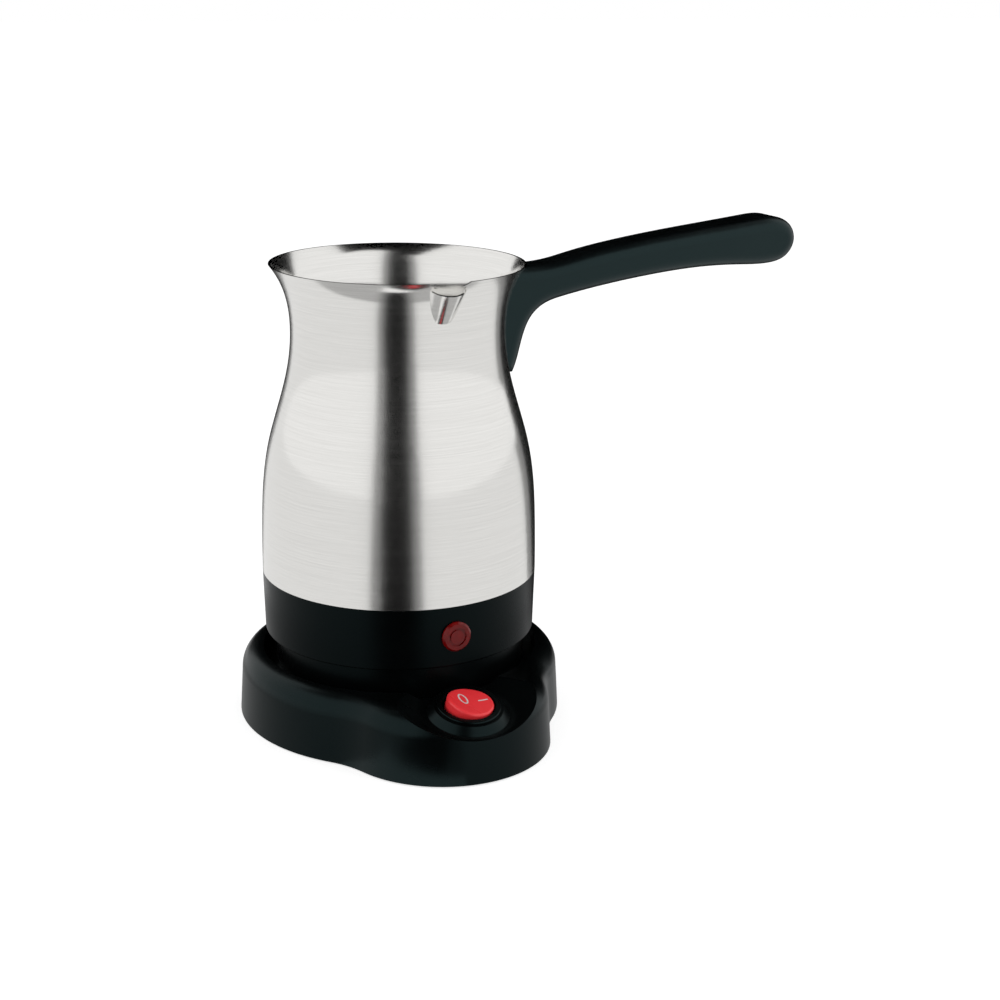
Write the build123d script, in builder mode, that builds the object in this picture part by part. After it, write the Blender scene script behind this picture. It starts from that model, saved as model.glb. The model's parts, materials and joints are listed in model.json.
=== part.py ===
from build123d import *
import os
from math import cos, radians, sin, tan

# Electric turkish coffee maker: a steel pot with a side handle that lifts off a mains base.
# Millimetres, +Z up. Origin on the surface that the feet stand on, at the pot's axis.
# The lamp, the switch and the pouring lip face -Y, the handle points along +X,
# and the cord enters the base at the back, +Y.

os.makedirs("parts", exist_ok=True)

# ---- driving dimensions: base ----------------------------------------------------------------
base_radius = 58.6  # round part of the base, at its lower edge
lobe_radius = 38.0  # front lobe that carries the switch
lobe_offset = 38.8  # lobe centre, forward of the pot's axis
lobe_blend = 35.0  # concave blend between the round part and the lobe
base_draft = 3.5  # lean of the outer wall, degrees
shell_foot_z = 0.5  # lower edge of the shell above the surface
shell_top_z = 24.4  # crest of the shell
shoulder_radius = 8.0  # rounding of the crest
shell_wall = 2.2
well_gap = 4.8  # round well in the base, wider than the foot of the pot
deck_z = 20.0  # floor of the well

foot_radius = 6.0
foot_height = 1.6
foot_peg_radius = 2.0
rear_foot_inset = 10.43  # foot's centre from the outline
front_foot_inset = 13.0
rear_foot_angle = 48.366  # about the pot's axis
front_foot_angle = -40.4  # about the lobe's centre
plate_thickness = 2.0
plate_gap = 0.4  # between the plate's edge and the shell's wall
post_radius = 3.6
post_inset = 12.0  # post's centre from the outline
rear_post_angle = 20.0
front_post_angle = -35.4
base_screw_radius = 1.3
base_screw_length = 9.0
screw_head_ratio = 1.9  # head radius over shank radius, every screw

# ---- driving dimensions: switch --------------------------------------------------------------
switch_y = -59.6
switch_seat_z = 21.3
switch_tilt = 12.0  # degrees, the seat falls towards the front
bezel_radius = 11.15
bezel_height = 1.1
switch_body_radius = 9.9
switch_body_depth = 12.5
switch_wall = 0.9
rocker_radius = 8.25
bezel_rim = 1.85  # visible width of the bezel's ring
rocker_pivot_depth = 2.0  # pivot below the seat
rocker_pin_radius = 1.1
rocker_crown = 4.9  # ends of the rocker above its pivot
rocker_hollow = 0.9  # middle of the rocker below its ends
rocker_depth = 2.0  # underside below the pivot
rocker_edge = 0.9  # rounding of the rocker's rim
stem_radius = 2.3
stem_length = 3.6
plunger_radius = 1.5
plunger_reach = 6.7  # tip below the pivot
spring_wire = 0.25
lever_depth = 7.4  # lever's pivot below the rocker's pivot
lever_length = 11.0
lever_width = 4.0
lever_thickness = 0.8
lever_knuckle_radius = 0.7  # round rib that the lever rocks on
lever_rest = 7.0  # degrees, the end under the O side is down
terminal_width = 4.8
terminal_thickness = 0.8
terminal_reach = 4.5  # below the switch body
terminal_x = -5.0
rocker_rest = 8.0  # degrees, the I side is down
dished_seat_radius = 16.6  # hollow in the lobe round the switch
dished_seat_drop = 2.4
dished_seat_corner = 5.0
dished_seat_flare = 62.0  # its sides lean out, degrees from upright
boss_top_radius = 12.0
boss_flank = 45.0  # degrees

# ---- driving dimensions: pot -----------------------------------------------------------------
pot_wall = 0.8
seam = (49.3, 54.0)  # radius and height of the steel's lower edge, where the collar starts
belly = (49.1, 70.0)
upper_belly = (46.2, 100.0)
shoulder = (39.6, 124.0)
waist = (37.6, 140.0)
throat = (39.1, 153.0)
rim = (44.6, 163.9)
neck_gap = 0.4  # round the step that goes into the collar
pot_bottom_z = 51.2

lip_radius = 7.4  # pouring lip at the rim
lip_reach = 40.0  # lip's centre from the pot's axis, at the rim
lip_foot_radius = 5.0
lip_foot_reach = 34.3
lip_foot_z = 151.5
lip_dip = 2.5
lip_width = 15.0

# ---- driving dimensions: collar and pot foot -------------------------------------------------
collar_wall = 2.0
collar_foot_z = 32.0
collar_foot_radius = 48.7
collar_step = 3.7  # from the collar's lower edge in to its skirt
seat_gap = 0.2  # skirt above the well's floor
pot_floor_z = 22.4
floor_thickness = 2.0
ledge_width = 2.6
seal_height = 1.6

# ---- driving dimensions: connector -----------------------------------------------------------
tower_radius = 10.2
tower_top_z = 38.0
slot_depth = 14.0
slot_width = 1.8
inner_slot_radius = 3.2  # inner wall of the inner slot
outer_slot_radius = 6.6
pin_radius = 1.5
pin_fit = 0.05
ring_thickness = 0.6
ring_stand_off = 0.3  # ring from the slot's inner wall
blade_thickness = 0.4
cup_gap = 0.6  # pot's cup round the tower
cup_wall = 3.0
cup_flange_radius = 18.5
cup_flange_height = 2.0
cup_top_thickness = 3.2
connector_screw_radius = 1.2
connector_screw_place = 16.2
socket_flange_radius = 18.5
socket_flange_height = 2.0
socket_post_height = 2.0

# ---- driving dimensions: heater and controls -------------------------------------------------
plate_radius = 27.0
heat_plate_thickness = 2.6
element_radius = 3.25
element_circle = 23.0
element_opening = 60.0  # degrees between the element's ends
element_end_drop = 8.0
thermostat_place = (35.4, 135.0)  # radius, angle
thermostat_radius = 8.0
thermostat_cap_height = 3.0
thermostat_body_height = 6.0
thermostat_stud_spacing = 23.0
stud_radius = 1.5
stud_length = 8.0
collar_post_circle = 38.0
collar_post_radius = 3.0
collar_post_angles = (60.0, 180.0, 300.0)
fuse_radius = 1.8
fuse_length = 11.0
fuse_y = 13.5
lead_radius = 0.8

# ---- driving dimensions: lamp ----------------------------------------------------------------
lamp_z = 43.2
lens_radius = 5.3
lens_flange = 1.3
lens_groove_radius = 3.3
lens_body_radius = 4.2
lens_body_length = 11.0
neon_radius = 2.4
neon_length = 9.0

# ---- driving dimensions: handle --------------------------------------------------------------
handle_outline = (  # side outline from the tail, along the underside, round the tip and back along the top
    (43.0, 122.0),
    (45.6, 129.5),
    (47.6, 136.6),
    (50.6, 142.3),
    (55.5, 146.1),
    (62.5, 148.2),
    (80.5, 151.4),
    (100.8, 154.0),
    (122.0, 155.5),
    (138.0, 155.3),
    (150.0, 155.2),
    (157.5, 157.4),
    (161.2, 163.6),
    (159.4, 169.4),
    (153.5, 172.6),
    (144.0, 172.6),
    (128.0, 171.0),
    (107.0, 168.9),
    (86.7, 166.4),
    (68.0, 163.2),
    (58.5, 161.3),
    (50.0, 160.6),
    (40.0, 160.8),
)
handle_root_width = 13.5
handle_tip_width = 20.0
handle_tip_x = 161.2
handle_rounding = 5.0
handle_gap = 0.1
bracket_z = 152.6
bracket_thickness = 3.0
bracket_width = 9.0
bracket_reach = 64.0
bracket_pad_thickness = 1.2
bracket_pad_width = 12.0
bracket_pad_height = 14.0
handle_screw_radius = 1.5
handle_screw_inset = 6.0  # from the bracket's end
handle_screw_length = 8.0

# ---- driving dimensions: cord gland ----------------------------------------------------------
gland_bore_radius = 3.5
gland_radius = 5.2
gland_flange_radius = 6.8
gland_flange = 1.4
gland_length = 12.0
gland_z = 10.4

# ---- derived places --------------------------------------------------------------------------
plate_z = foot_height
plate_top_z = plate_z + plate_thickness
deck_under_z = deck_z - shell_wall
switch_plane = Plane(
    origin=(0, switch_y, switch_seat_z),
    x_dir=(1, 0, 0),
    z_dir=(0, -sin(radians(switch_tilt)), cos(radians(switch_tilt))),
)
pot_outline = (seam, belly, upper_belly, shoulder, waist, throat, rim)
seam_radius, seam_z = seam
rim_radius, rim_z = rim
neck_radius = seam_radius - collar_wall - neck_gap
skirt_radius = collar_foot_radius - collar_step
well_radius = skirt_radius + well_gap
handle_screw_x = bracket_reach - handle_screw_inset
collar_floor_top_z = pot_floor_z + floor_thickness
heat_plate_z = pot_bottom_z - heat_plate_thickness
element_z = heat_plate_z - 0.7 * element_radius
cup_radius = tower_radius + cup_gap
cup_top_z = tower_top_z + cup_gap
cup_outer_z = cup_top_z + cup_top_thickness
slot_floor_z = tower_top_z - slot_depth
ring_foot_z = slot_floor_z + 2.0
slot_radii = (inner_slot_radius, outer_slot_radius)
ledge_top_z = pot_bottom_z - seal_height


def around(radius, angle, z):
    """A point at a radius and an angle round the pot's axis."""
    return (radius * cos(radians(angle)), radius * sin(radians(angle)), z)


def on_both_sides(radius, angle, centre_y=0.0):
    """A place on the right, at a radius and an angle about a centre, and its mirror on the left."""
    x, y, _ = around(radius, angle, 0)
    return [(x, y + centre_y), (-x, y + centre_y)]


rear_foot_places = on_both_sides(base_radius - rear_foot_inset, rear_foot_angle)
front_foot_places = on_both_sides(lobe_radius - front_foot_inset, front_foot_angle, -lobe_offset)
foot_places = rear_foot_places + front_foot_places
rear_post_places = on_both_sides(base_radius - post_inset, rear_post_angle)
front_post_places = on_both_sides(base_radius - post_inset, front_post_angle)
post_places = rear_post_places + front_post_places


def lead(points, bend, radius=lead_radius):
    """A round lead along straight runs with rounded corners."""
    with BuildPart() as wire:
        with BuildLine() as route:
            FilletPolyline(*points, radius=bend)
        with BuildSketch(Plane(origin=route.line @ 0, z_dir=route.line % 0)):
            Circle(radius)
        sweep()
    return wire.part


def screw(head_radius, head_height, shank_radius, shank_length):
    """A pan-head screw, head down, its shank rising from the origin, with a cross recess."""
    with BuildPart() as body:
        with BuildSketch(Plane.XY.offset(-head_height)):
            Circle(head_radius)
        extrude(amount=head_height)
        fillet(body.edges().sort_by(Axis.Z)[0], head_height * 0.4)
        with BuildSketch():
            Circle(shank_radius)
        extrude(amount=shank_length)
        chamfer(body.edges().sort_by(Axis.Z)[-1], shank_radius * 0.4)
        with BuildSketch(Plane.XY.offset(-head_height)):
            Rectangle(head_radius * 1.1, head_radius * 0.25)
            Rectangle(head_radius * 0.25, head_radius * 1.1)
        extrude(amount=head_height * 0.6, mode=Mode.SUBTRACT)
    return body.part


def tilted_plane(depth, angle):
    """A plane below the switch's seat, its right-hand side turned down by an angle."""
    seat = switch_plane.offset(-depth)
    turn = radians(angle)
    return Plane(
        origin=seat.origin,
        x_dir=seat.x_dir * cos(turn) - seat.z_dir * sin(turn),
        z_dir=seat.z_dir * cos(turn) + seat.x_dir * sin(turn),
    )


def base_outline(inset):
    """The base's outline, drawn in by an inset: two circles joined by concave blends."""
    back = base_radius - inset
    front = lobe_radius - inset
    blend = lobe_blend + inset
    along = ((back + blend) ** 2 + lobe_offset**2 - (front + blend) ** 2) / (2 * lobe_offset)
    across = ((back + blend) ** 2 - along**2) ** 0.5
    share = back / (back + blend)
    back_end = (across * share, -along * share)
    share = front / (front + blend)
    front_end = (across * share, -lobe_offset - (along - lobe_offset) * share)
    with BuildSketch() as outline:
        with BuildLine():
            RadiusArc(front_end, back_end, blend)
            mirror(about=Plane.YZ)
            ThreePointArc(back_end, (0, back), (-back_end[0], back_end[1]))
            ThreePointArc(front_end, (0, -lobe_offset - front), (-front_end[0], front_end[1]))
        make_face()
    return outline.sketch


# ---- base shell ------------------------------------------------------------------------------
# Hollow of the shell: the footprint less the wall, kept away from the well and the switch seat.
with BuildPart() as shell_hollow:
    with BuildSketch(Plane.XY.offset(shell_foot_z)):
        add(base_outline(shell_wall))
    extrude(amount=shell_top_z - shell_wall - shell_foot_z, taper=base_draft)
    fillet(shell_hollow.faces().sort_by(Axis.Z)[-1].edges(), shoulder_radius - shell_wall)
    with BuildSketch(Plane.XY.offset(deck_under_z)):
        Circle(well_radius + shell_wall)
    extrude(amount=shell_top_z, mode=Mode.SUBTRACT)
    with BuildSketch(switch_plane.offset(-dished_seat_drop - 1.2 * shell_wall)):
        Circle(dished_seat_radius)
    extrude(amount=shell_top_z, taper=-dished_seat_flare, mode=Mode.SUBTRACT)

# Dished seat: a shallow hollow round the switch with a raised ring for the bezel.
with BuildPart() as seat_cutter:
    with BuildSketch(switch_plane.offset(-dished_seat_drop)):
        Circle(dished_seat_radius)
    extrude(amount=shell_top_z, taper=-dished_seat_flare)
    fillet(seat_cutter.faces().sort_by(Axis.Z)[0].edges(), dished_seat_corner)
    with BuildSketch(switch_plane):
        Circle(boss_top_radius)
    extrude(amount=-2 * dished_seat_drop, taper=-boss_flank, mode=Mode.SUBTRACT)

with BuildPart() as base_shell:
    with BuildSketch(Plane.XY.offset(shell_foot_z)):
        add(base_outline(0))
    extrude(amount=shell_top_z - shell_foot_z, taper=base_draft)
    fillet(base_shell.faces().sort_by(Axis.Z)[-1].edges(), shoulder_radius)
    add(seat_cutter.part, mode=Mode.SUBTRACT)
    with BuildSketch(Plane.XY.offset(deck_z)):
        Circle(well_radius)
    extrude(amount=shell_top_z, mode=Mode.SUBTRACT)
    add(shell_hollow.part, mode=Mode.SUBTRACT)
    # Posts for the plate's screws, and short posts for the socket's screws.
    with BuildSketch(Plane.XY.offset(plate_top_z)):
        with Locations(*post_places):
            Circle(post_radius)
    extrude(amount=deck_z - 1 - plate_top_z)
    with BuildSketch(Plane.XY.offset(deck_under_z - socket_post_height)):
        with Locations((connector_screw_place, 0), (-connector_screw_place, 0)):
            Circle(2 * connector_screw_radius)
    extrude(amount=socket_post_height)
    with BuildSketch(Plane.XY.offset(plate_top_z)):
        with Locations(*post_places):
            Circle(base_screw_radius)
    extrude(amount=base_screw_length, mode=Mode.SUBTRACT)
    with BuildSketch(Plane.XY.offset(deck_under_z - socket_post_height)):
        with Locations((connector_screw_place, 0), (-connector_screw_place, 0)):
            Circle(connector_screw_radius)
    extrude(amount=socket_post_height + shell_wall / 2, mode=Mode.SUBTRACT)
    # Openings for the socket's tower, the switch body and the cord gland.
    with BuildSketch(Plane.XY.offset(deck_under_z - 1)):
        Circle(tower_radius + pin_fit)
    extrude(amount=shell_wall + 2, mode=Mode.SUBTRACT)
    with BuildSketch(switch_plane.offset(1)):
        Circle(switch_body_radius + 2 * pin_fit)
    extrude(amount=-switch_body_depth, mode=Mode.SUBTRACT)
    with BuildSketch(Plane.XZ.offset(-base_radius - 1)):
        with Locations((0, gland_z)):
            Circle(gland_radius)
    extrude(amount=gland_length, mode=Mode.SUBTRACT)
base_shell.part.label = "base_shell"
export_step(base_shell.part, "parts/base_shell.step")

# ---- base plate, its screws and the rubber feet ----------------------------------------------
with BuildPart() as base_plate:
    with BuildSketch(Plane.XY.offset(plate_z)):
        add(base_outline(shell_wall + plate_gap))
    extrude(amount=plate_thickness)
    with Locations(*[Plane(origin=(x, y, plate_z), z_dir=(0, 0, -1)) for x, y in post_places]):
        CounterSinkHole(base_screw_radius + 0.2, screw_head_ratio * base_screw_radius)
    with BuildSketch(Plane.XY.offset(plate_z)):
        with Locations(*foot_places):
            Circle(foot_peg_radius)
    extrude(amount=plate_thickness, mode=Mode.SUBTRACT)
base_plate.part.label = "base_plate"
export_step(base_plate.part, "parts/base_plate.step")

# Countersunk screws, heads flush with the plate's underside.
with BuildPart() as base_screws:
    for x, y in post_places:
        with BuildSketch(Plane(origin=(x, y, 0), x_dir=(1, 0, 0), z_dir=(0, -1, 0))):
            with BuildLine():
                Polyline(
                    (0, plate_z + 0.1),
                    (screw_head_ratio * base_screw_radius - 0.25, plate_z + 0.1),
                    (base_screw_radius, plate_z + plate_thickness * 0.55),
                    (base_screw_radius, plate_top_z + base_screw_length - 0.4),
                    (0, plate_top_z + base_screw_length - 0.4),
                    close=True,
                )
            make_face()
        revolve(axis=Axis((x, y, 0), (0, 0, 1)))
        with BuildSketch(Plane.XY.offset(plate_z)):
            with Locations((x, y)):
                Rectangle(2.4 * base_screw_radius, 0.5 * base_screw_radius)
                Rectangle(0.5 * base_screw_radius, 2.4 * base_screw_radius)
        extrude(amount=plate_thickness * 0.5, mode=Mode.SUBTRACT)
base_screws.part.label = "base_screws"
export_step(base_screws.part, "parts/base_screws.step")

with BuildPart() as rubber_feet:
    with BuildSketch():
        with Locations(*foot_places):
            Circle(foot_radius)
    extrude(amount=foot_height)
    fillet(rubber_feet.edges().group_by(Axis.Z)[0], foot_height * 0.4)
    with BuildSketch(Plane.XY.offset(foot_height)):
        with Locations(*foot_places):
            Circle(foot_peg_radius)
    extrude(amount=plate_thickness + foot_height / 2)
rubber_feet.part.label = "rubber_feet"
export_step(rubber_feet.part, "parts/rubber_feet.step")

# ---- cord gland: a flanged bush in the back wall ---------------------------------------------
gland_foot_rise = gland_z - gland_flange_radius - shell_foot_z
gland_y = base_radius - gland_foot_rise * tan(radians(base_draft)) + pin_fit
gland_lip_y = gland_y - shell_wall - 1.2  # snap lip behind the wall
with BuildPart() as cord_gland:
    with BuildSketch(Plane.XZ.offset(-gland_y - gland_flange)):
        with Locations((0, gland_z)):
            Circle(gland_flange_radius)
    extrude(amount=gland_flange)
    fillet(cord_gland.edges().sort_by(Axis.Y)[-1], gland_flange / 3)
    with BuildSketch(Plane.XZ.offset(-gland_y)):
        with Locations((0, gland_z)):
            Circle(gland_radius - pin_fit)
    extrude(amount=gland_length - gland_flange)
    with BuildSketch(Plane.XZ.offset(-gland_lip_y)):
        with Locations((0, gland_z)):
            Circle(gland_flange_radius - 0.4)
    extrude(amount=gland_flange)
    with BuildSketch(Plane.XZ.offset(-gland_y - gland_flange)):
        with Locations((0, gland_z)):
            Circle(gland_bore_radius)
    extrude(amount=gland_length, mode=Mode.SUBTRACT)
cord_gland.part.label = "cord_gland"
export_step(cord_gland.part, "parts/cord_gland.step")

# ---- switch ----------------------------------------------------------------------------------
switch_bore = switch_body_radius - switch_wall
switch_floor = switch_body_depth - 1.2  # inside floor below the seat
lever_pivot_depth = rocker_pivot_depth + lever_depth
terminal_places = (0, terminal_x)
terminal_tops = (lever_pivot_depth + lever_thickness, lever_pivot_depth + lever_thickness + 0.75)

with BuildPart() as switch_housing:
    with BuildSketch(switch_plane):
        Circle(bezel_radius)
    extrude(amount=bezel_height)
    fillet(switch_housing.edges().sort_by(Axis.Z)[-1], bezel_height / 2)
    with BuildSketch(switch_plane):
        Circle(switch_body_radius)
    extrude(amount=-switch_body_depth)
    with BuildSketch(switch_plane.offset(bezel_height)):
        Circle(bezel_radius - bezel_rim)
    extrude(amount=-bezel_height, mode=Mode.SUBTRACT)
    with BuildSketch(switch_plane):
        Circle(switch_bore)
    extrude(amount=-switch_floor, mode=Mode.SUBTRACT)
    with BuildSketch(Plane(origin=switch_plane.origin, x_dir=(1, 0, 0), z_dir=switch_plane.y_dir)):
        with Locations((0, rocker_pivot_depth)):
            Circle(rocker_pin_radius + pin_fit)
    extrude(amount=switch_body_radius + 1, both=True, mode=Mode.SUBTRACT)
    with BuildSketch(switch_plane):
        with Locations(*[(x, 0) for x in terminal_places]):
            Rectangle(terminal_thickness, terminal_width)
    extrude(amount=-switch_body_depth - 1, mode=Mode.SUBTRACT)
switch_housing.part.label = "switch_housing"
export_step(switch_housing.part, "parts/switch_housing.step")

# The rocker turns about the seat's own fore-and-aft line, and rests with the I side down.
rocker_plane = tilted_plane(rocker_pivot_depth, rocker_rest)
rocker_side = Plane(origin=rocker_plane.origin, x_dir=rocker_plane.x_dir, z_dir=-rocker_plane.y_dir)
with BuildPart() as rocker:
    with BuildSketch(rocker_side):
        with BuildLine():
            Polyline(
                (-rocker_radius, rocker_crown),
                (-rocker_radius, -rocker_depth),
                (rocker_radius, -rocker_depth),
                (rocker_radius, rocker_crown),
            )
            ThreePointArc(
                (-rocker_radius, rocker_crown),
                (0, rocker_crown - rocker_hollow),
                (rocker_radius, rocker_crown),
            )
        make_face()
    extrude(amount=rocker_radius, both=True)
    with BuildSketch(rocker_plane.offset(-rocker_depth)):
        Circle(rocker_radius)
    extrude(amount=2 * rocker_crown, mode=Mode.INTERSECT)
    fillet(rocker.faces().sort_by(Axis.Z)[-1].edges(), rocker_edge)
    with BuildSketch(rocker_side):
        Circle(rocker_pin_radius)
    extrude(amount=switch_body_radius - 0.4, both=True)
    with BuildSketch(rocker_plane.offset(-rocker_depth)):
        Circle(stem_radius)
    extrude(amount=-stem_length)
    with BuildSketch(rocker_plane.offset(-rocker_depth - stem_length)):
        Circle(plunger_radius + pin_fit)
    extrude(amount=rocker_depth + stem_length, mode=Mode.SUBTRACT)
rocker.part.label = "rocker"
export_step(rocker.part, "parts/rocker.step")

with BuildPart() as rocker_plunger:
    with BuildSketch(rocker_plane.offset(-plunger_reach)):
        Circle(plunger_radius)
    extrude(amount=plunger_reach * 0.35)
    fillet(rocker_plunger.edges().sort_by(Axis.Z)[0], plunger_radius * 0.6)
rocker_plunger.part.label = "rocker_plunger"
export_step(rocker_plunger.part, "parts/rocker_plunger.step")

spring_height = plunger_reach * 0.65 - 2 * spring_wire
spring_plane = rocker_plane.offset(-plunger_reach * 0.65 + spring_wire)
with BuildPart() as rocker_spring:
    with BuildLine() as coil:
        Helix(
            pitch=spring_height / 5,
            height=spring_height,
            radius=plunger_radius - 2 * spring_wire,
            center=spring_plane.origin,
            direction=spring_plane.z_dir,
        )
    with BuildSketch(Plane(origin=coil.line @ 0, z_dir=coil.line % 0)):
        Circle(spring_wire)
    sweep(is_frenet=True)
rocker_spring.part.label = "rocker_spring"
export_step(rocker_spring.part, "parts/rocker_spring.step")

lever_plane = tilted_plane(lever_pivot_depth, -lever_rest)
with BuildPart() as contact_lever:
    with BuildSketch(lever_plane.offset(-lever_thickness / 2)):
        RectangleRounded(lever_length, lever_width, lever_width / 4)
    extrude(amount=lever_thickness)
    with BuildSketch(Plane(origin=lever_plane.origin, x_dir=(1, 0, 0), z_dir=lever_plane.y_dir)):
        Circle(lever_knuckle_radius)
    extrude(amount=lever_width / 2, both=True)
contact_lever.part.label = "contact_lever"
export_step(contact_lever.part, "parts/contact_lever.step")

with BuildPart() as switch_terminals:
    for x, top in zip(terminal_places, terminal_tops):
        with BuildSketch(switch_plane.offset(-top)):
            with Locations((x, 0)):
                Rectangle(terminal_thickness, terminal_width)
        extrude(amount=top - switch_body_depth - terminal_reach)
switch_terminals.part.label = "switch_terminals"
export_step(switch_terminals.part, "parts/switch_terminals.step")

# ---- connector: socket in the base -----------------------------------------------------------
socket_top_z = deck_under_z - socket_post_height
socket_foot_z = socket_top_z - socket_flange_height
blade_angles = (270.0, 90.0)
blade_sweep = 40.0
tab_foot_z = socket_foot_z - 5.0
blade_outers = [radius + slot_width - 0.15 for radius in slot_radii]
ring_inners = [radius + ring_stand_off for radius in slot_radii]


def radial_plane(angle):
    """The upright plane through the pot's axis at an angle, its x axis pointing outwards."""
    out = radians(angle)
    return Plane(origin=(0, 0, 0), x_dir=(cos(out), sin(out), 0), z_dir=(sin(out), -cos(out), 0))


def arc_wall(inner, outer, low, high, angle, arc):
    """A curved wall round the pot's axis, centred on an angle."""
    with BuildPart() as wall:
        with BuildSketch(radial_plane(angle - arc / 2)):
            with Locations(((inner + outer) / 2, (low + high) / 2)):
                Rectangle(outer - inner, high - low)
        revolve(axis=Axis.Z, revolution_arc=arc)
    return wall.part


with BuildPart() as base_socket:
    with BuildSketch(Plane.XY.offset(socket_foot_z)):
        Circle(socket_flange_radius)
    extrude(amount=socket_flange_height)
    with BuildSketch(Plane.XY.offset(socket_foot_z)):
        Circle(tower_radius)
    extrude(amount=tower_top_z - socket_foot_z)
    chamfer(base_socket.edges().sort_by(Axis.Z)[-1], 0.8)
    with BuildSketch(Plane.XY.offset(tower_top_z)):
        Circle(pin_radius + pin_fit)
    extrude(amount=-slot_depth - 2, mode=Mode.SUBTRACT)
    for radius in slot_radii:
        with BuildSketch(Plane.XY.offset(tower_top_z)):
            Circle(radius + slot_width)
            Circle(radius, mode=Mode.SUBTRACT)
        extrude(amount=-slot_depth, mode=Mode.SUBTRACT)
    for outer, angle in zip(blade_outers, blade_angles):
        inner = outer - blade_thickness
        add(
            arc_wall(inner, outer, socket_foot_z - 1, tower_top_z, angle, blade_sweep),
            mode=Mode.SUBTRACT,
        )
    with BuildSketch(Plane.XY.offset(socket_foot_z)):
        with Locations((connector_screw_place, 0), (-connector_screw_place, 0)):
            Circle(connector_screw_radius + 0.2)
    extrude(amount=socket_flange_height, mode=Mode.SUBTRACT)
base_socket.part.label = "base_socket"
export_step(base_socket.part, "parts/base_socket.step")

with BuildPart() as base_contacts:
    for outer, angle in zip(blade_outers, blade_angles):
        add(arc_wall(outer - blade_thickness, outer, tab_foot_z, tower_top_z - 2, angle, blade_sweep))
base_contacts.part.label = "base_contacts"
export_step(base_contacts.part, "parts/base_contacts.step")

connector_head = 2 * connector_screw_radius
with BuildPart() as socket_screws:
    for x in (-connector_screw_place, connector_screw_place):
        with Locations((x, 0, socket_foot_z)):
            add(screw(connector_head, 1.2, connector_screw_radius - pin_fit, 4.6))
socket_screws.part.label = "socket_screws"
export_step(socket_screws.part, "parts/socket_screws.step")

# ---- connector: plug in the pot's foot -------------------------------------------------------
ring_tab_angles = (200.0, 340.0)
ring_tab_sweep = 40.0
ring_tab_top_z = cup_outer_z + 4.0
with BuildPart() as pot_plug:
    with BuildSketch(Plane.XY.offset(collar_floor_top_z)):
        Circle(cup_flange_radius)
    extrude(amount=cup_flange_height)
    with BuildSketch(Plane.XY.offset(pot_floor_z)):
        Circle(cup_radius + cup_wall)
    extrude(amount=cup_outer_z - pot_floor_z)
    fillet(pot_plug.edges().sort_by(Axis.Z)[-1], 0.8)
    with BuildSketch(Plane.XY.offset(pot_floor_z)):
        Circle(cup_radius)
    extrude(amount=cup_top_z - pot_floor_z, mode=Mode.SUBTRACT)
    with BuildSketch(Plane.XY.offset(cup_outer_z)):
        Circle(pin_radius + pin_fit)
    extrude(amount=-cup_top_thickness, mode=Mode.SUBTRACT)
    for inner, angle in zip(ring_inners, ring_tab_angles):
        outer = inner + ring_thickness
        add(arc_wall(inner, outer, cup_top_z, cup_outer_z, angle, ring_tab_sweep), mode=Mode.SUBTRACT)
    with BuildSketch(Plane.XY.offset(collar_floor_top_z)):
        with Locations((connector_screw_place, 0), (-connector_screw_place, 0)):
            Circle(connector_screw_radius)
    extrude(amount=cup_flange_height, mode=Mode.SUBTRACT)
pot_plug.part.label = "pot_plug"
export_step(pot_plug.part, "parts/pot_plug.step")

with BuildPart() as contact_rings:
    for inner, angle in zip(ring_inners, ring_tab_angles):
        outer = inner + ring_thickness
        with BuildSketch(Plane.XY.offset(ring_foot_z)):
            Circle(outer)
            Circle(inner, mode=Mode.SUBTRACT)
        extrude(amount=cup_top_z - ring_foot_z)
        add(arc_wall(inner, outer, cup_top_z, ring_tab_top_z, angle, ring_tab_sweep))
contact_rings.part.label = "contact_rings"
export_step(contact_rings.part, "parts/contact_rings.step")

tag_thickness = 0.5
with BuildPart() as earth_tag:
    with BuildSketch(Plane.XY.offset(cup_outer_z)):
        Circle(2 * pin_radius)
        with BuildLine():
            Polyline((-1.5, 0), (1.5, 0), (1.5, -cup_radius), (-1.5, -cup_radius), close=True)
        make_face()
        Circle(pin_radius + pin_fit, mode=Mode.SUBTRACT)
    extrude(amount=tag_thickness)
earth_tag.part.label = "earth_tag"
export_step(earth_tag.part, "parts/earth_tag.step")

with BuildPart() as centre_pin:
    with BuildSketch(Plane.XY.offset(slot_floor_z + 1)):
        Circle(pin_radius)
    extrude(amount=cup_outer_z + tag_thickness + 2 * pin_fit - slot_floor_z - 1)
    chamfer(centre_pin.edges().sort_by(Axis.Z)[0], pin_radius / 2)
    with BuildSketch(Plane.XY.offset(cup_outer_z + tag_thickness + pin_fit)):
        Circle(1.8 * pin_radius)
    extrude(amount=1.2)
centre_pin.part.label = "centre_pin"
export_step(centre_pin.part, "parts/centre_pin.step")

with BuildPart() as plug_screws:
    for x in (-connector_screw_place, connector_screw_place):
        with Locations((x, 0, pot_floor_z)):
            add(screw(connector_head, 1.2, connector_screw_radius - pin_fit, floor_thickness + 1.6))
plug_screws.part.label = "plug_screws"
export_step(plug_screws.part, "parts/plug_screws.step")

# ---- pot shell -------------------------------------------------------------------------------


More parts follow.
